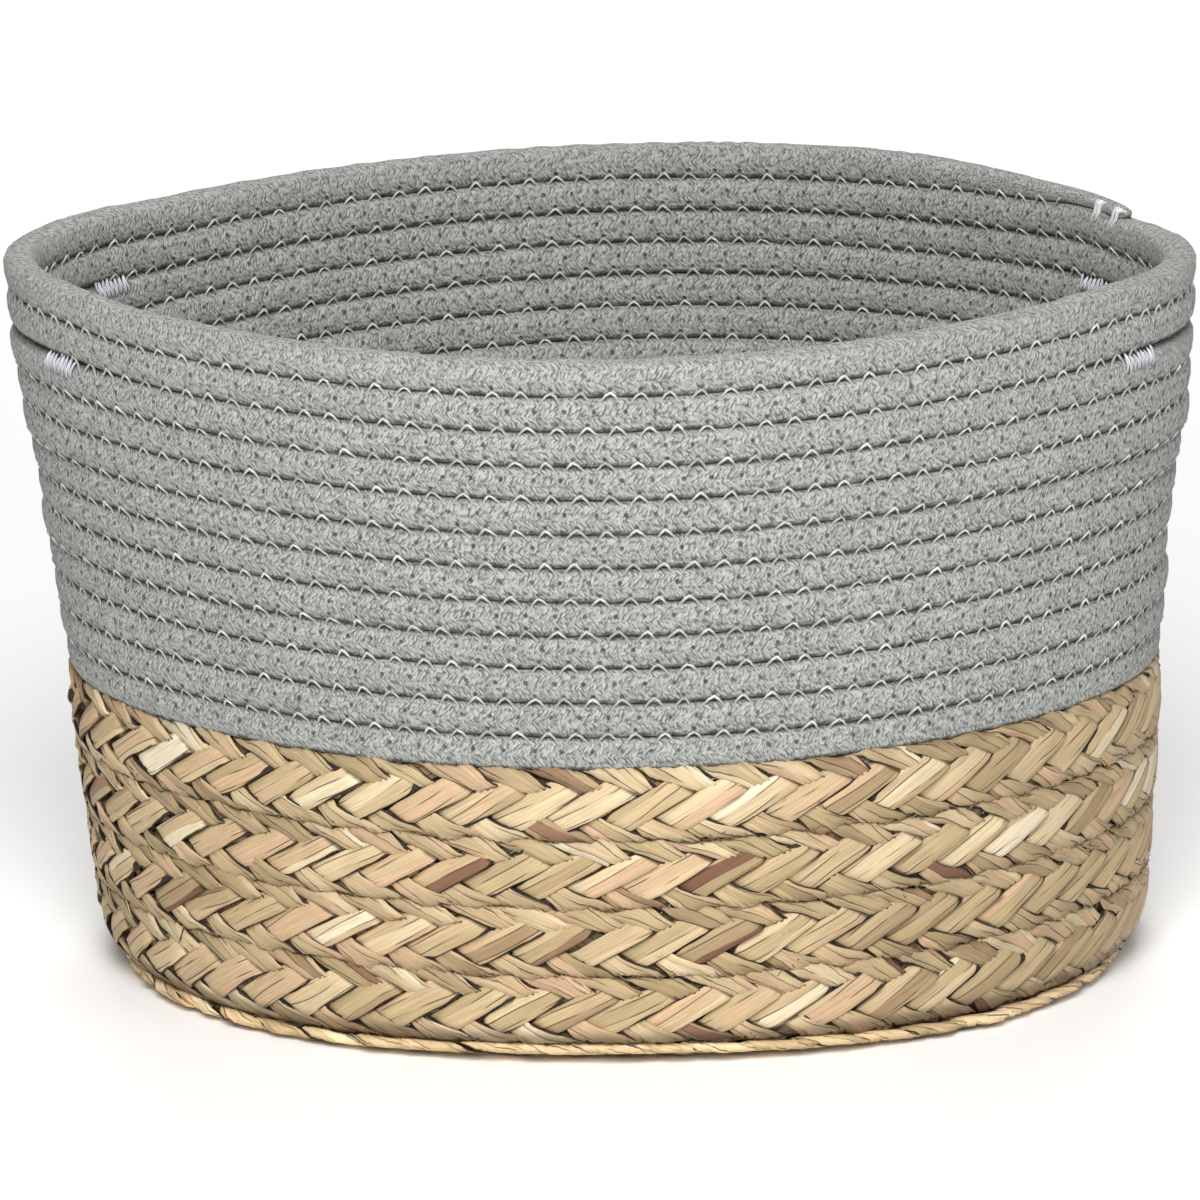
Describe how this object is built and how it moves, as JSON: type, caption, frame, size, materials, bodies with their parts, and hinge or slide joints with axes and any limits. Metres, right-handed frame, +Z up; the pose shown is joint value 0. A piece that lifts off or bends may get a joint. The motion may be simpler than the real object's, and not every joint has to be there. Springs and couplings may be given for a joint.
{
  "type": "oval basket",
  "caption": "Oval storage basket with a coiled cotton rope wall over a coiled rush plait wall and base, and a slit handle at each narrow end.",
  "frame": {"origin": "on the floor, under the middle of the basket's box", "axes": "+Z up out of the open mouth, +X along the long axis, +Y along the short axis towards the side where the coils climb"},
  "size_m": [0.353, 0.2835, 0.2218],
  "materials": {
    "cotton_rope": "braided cotton rope, matt, warm grey",
    "rush_plait": "dried rush plait, mottled straw, low sheen",
    "pale_thread": "pale sewing thread, matt"
  },
  "bodies": {
    "root": {"base_plait": "rush_plait", "wall_plait": "rush_plait", "rope_coil": "cotton_rope", "rope_end_tack": "pale_thread", "right_back_tack": "pale_thread", "right_front_tack": "pale_thread", "left_front_tack": "pale_thread", "left_back_tack": "pale_thread"}
  },
  "joints": []
}
